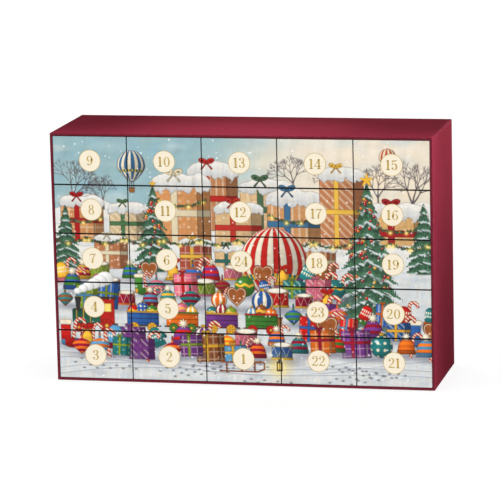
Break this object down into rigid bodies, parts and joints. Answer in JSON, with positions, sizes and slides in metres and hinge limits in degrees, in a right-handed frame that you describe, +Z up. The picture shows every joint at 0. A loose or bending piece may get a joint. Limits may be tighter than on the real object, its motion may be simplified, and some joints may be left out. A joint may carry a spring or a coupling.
{
  "type": "puzzle advent calendar",
  "caption": "Shallow wrapped board case on its long side, filled with numbered card drawers that pull out of the front, each holding loose jigsaw pieces.",
  "frame": {"origin": "middle of the underside of the case", "axes": "+X to the right seen from the front, the drawers face -Y, +Z up"},
  "size_m": [0.4, 0.125, 0.262],
  "materials": {
    "greyboard": "matt grey board",
    "wrap_paper": "wine red paper with a satin sheen",
    "base_paper": "matt wine red paper",
    "lattice_card": "matt black card",
    "drawer_card": "white card, printed in colour with a satin varnish on the front",
    "jigsaw_board": "printed face with a satin varnish, grey board edges"
  },
  "bodies": {
    "case": {"case_board": "greyboard", "case_wrap": "wrap_paper", "base_sheet": "base_paper", "upright_1": "lattice_card", "upright_2": "lattice_card", "upright_3": "lattice_card", "upright_4": "lattice_card", "shelf_1": "lattice_card", "shelf_2": "lattice_card", "shelf_3_left": "lattice_card", "shelf_3_right": "lattice_card", "shelf_4": "lattice_card"},
    "box_01": {"drawer_01": "drawer_card", "puzzle_01": "jigsaw_board"},
    "box_02": {"drawer_02": "drawer_card", "puzzle_02": "jigsaw_board"},
    "box_03": {"drawer_03": "drawer_card", "puzzle_03": "jigsaw_board"},
    "box_04": {"drawer_04": "drawer_card", "puzzle_04": "jigsaw_board"},
    "box_05": {"drawer_05": "drawer_card", "puzzle_05": "jigsaw_board"},
    "box_06": {"drawer_06": "drawer_card", "puzzle_06": "jigsaw_board"},
    "box_07": {"drawer_07": "drawer_card", "puzzle_07": "jigsaw_board"},
    "box_08": {"drawer_08": "drawer_card", "puzzle_08": "jigsaw_board"},
    "box_09": {"drawer_09": "drawer_card", "puzzle_09": "jigsaw_board"},
    "box_10": {"drawer_10": "drawer_card", "puzzle_10": "jigsaw_board"},
    "box_11": {"drawer_11": "drawer_card", "puzzle_11": "jigsaw_board"},
    "box_12": {"drawer_12": "drawer_card", "puzzle_12": "jigsaw_board"},
    "box_13": {"drawer_13": "drawer_card", "puzzle_13": "jigsaw_board"},
    "box_14": {"drawer_14": "drawer_card", "puzzle_14": "jigsaw_board"},
    "box_15": {"drawer_15": "drawer_card", "puzzle_15": "jigsaw_board"},
    "box_16": {"drawer_16": "drawer_card", "puzzle_16": "jigsaw_board"},
    "box_17": {"drawer_17": "drawer_card", "puzzle_17": "jigsaw_board"},
    "box_18": {"drawer_18": "drawer_card", "puzzle_18": "jigsaw_board"},
    "box_19": {"drawer_19": "drawer_card", "puzzle_19": "jigsaw_board"},
    "box_20": {"drawer_20": "drawer_card", "puzzle_20": "jigsaw_board"},
    "box_21": {"drawer_21": "drawer_card", "puzzle_21": "jigsaw_board"},
    "box_22": {"drawer_22": "drawer_card", "puzzle_22": "jigsaw_board"},
    "box_23": {"drawer_23": "drawer_card", "puzzle_23": "jigsaw_board"},
    "box_24": {"drawer_24": "drawer_card", "puzzle_24": "jigsaw_board"}
  },
  "joints": [
    {"name": "box_01_slide", "type": "slide", "parent": "case", "child": "box_01", "axis": [0, -1, 0], "range_m": [0, 0.1224]},
    {"name": "box_02_slide", "type": "slide", "parent": "case", "child": "box_02", "axis": [0, -1, 0], "range_m": [0, 0.1224]},
    {"name": "box_03_slide", "type": "slide", "parent": "case", "child": "box_03", "axis": [0, -1, 0], "range_m": [0, 0.1224]},
    {"name": "box_04_slide", "type": "slide", "parent": "case", "child": "box_04", "axis": [0, -1, 0], "range_m": [0, 0.1224]},
    {"name": "box_05_slide", "type": "slide", "parent": "case", "child": "box_05", "axis": [0, -1, 0], "range_m": [0, 0.1224]},
    {"name": "box_06_slide", "type": "slide", "parent": "case", "child": "box_06", "axis": [0, -1, 0], "range_m": [0, 0.1224]},
    {"name": "box_07_slide", "type": "slide", "parent": "case", "child": "box_07", "axis": [0, -1, 0], "range_m": [0, 0.1224]},
    {"name": "box_08_slide", "type": "slide", "parent": "case", "child": "box_08", "axis": [0, -1, 0], "range_m": [0, 0.1224]},
    {"name": "box_09_slide", "type": "slide", "parent": "case", "child": "box_09", "axis": [0, -1, 0], "range_m": [0, 0.1224]},
    {"name": "box_10_slide", "type": "slide", "parent": "case", "child": "box_10", "axis": [0, -1, 0], "range_m": [0, 0.1224]},
    {"name": "box_11_slide", "type": "slide", "parent": "case", "child": "box_11", "axis": [0, -1, 0], "range_m": [0, 0.1224]},
    {"name": "box_12_slide", "type": "slide", "parent": "case", "child": "box_12", "axis": [0, -1, 0], "range_m": [0, 0.1224]},
    {"name": "box_13_slide", "type": "slide", "parent": "case", "child": "box_13", "axis": [0, -1, 0], "range_m": [0, 0.1224]},
    {"name": "box_14_slide", "type": "slide", "parent": "case", "child": "box_14", "axis": [0, -1, 0], "range_m": [0, 0.1224]},
    {"name": "box_15_slide", "type": "slide", "parent": "case", "child": "box_15", "axis": [0, -1, 0], "range_m": [0, 0.1224]},
    {"name": "box_16_slide", "type": "slide", "parent": "case", "child": "box_16", "axis": [0, -1, 0], "range_m": [0, 0.1224]},
    {"name": "box_17_slide", "type": "slide", "parent": "case", "child": "box_17", "axis": [0, -1, 0], "range_m": [0, 0.1224]},
    {"name": "box_18_slide", "type": "slide", "parent": "case", "child": "box_18", "axis": [0, -1, 0], "range_m": [0, 0.1224]},
    {"name": "box_19_slide", "type": "slide", "parent": "case", "child": "box_19", "axis": [0, -1, 0], "range_m": [0, 0.1224]},
    {"name": "box_20_slide", "type": "slide", "parent": "case", "child": "box_20", "axis": [0, -1, 0], "range_m": [0, 0.1224]},
    {"name": "box_21_slide", "type": "slide", "parent": "case", "child": "box_21", "axis": [0, -1, 0], "range_m": [0, 0.1224]},
    {"name": "box_22_slide", "type": "slide", "parent": "case", "child": "box_22", "axis": [0, -1, 0], "range_m": [0, 0.1224]},
    {"name": "box_23_slide", "type": "slide", "parent": "case", "child": "box_23", "axis": [0, -1, 0], "range_m": [0, 0.1224]},
    {"name": "box_24_slide", "type": "slide", "parent": "case", "child": "box_24", "axis": [0, -1, 0], "range_m": [0, 0.1224]}
  ]
}
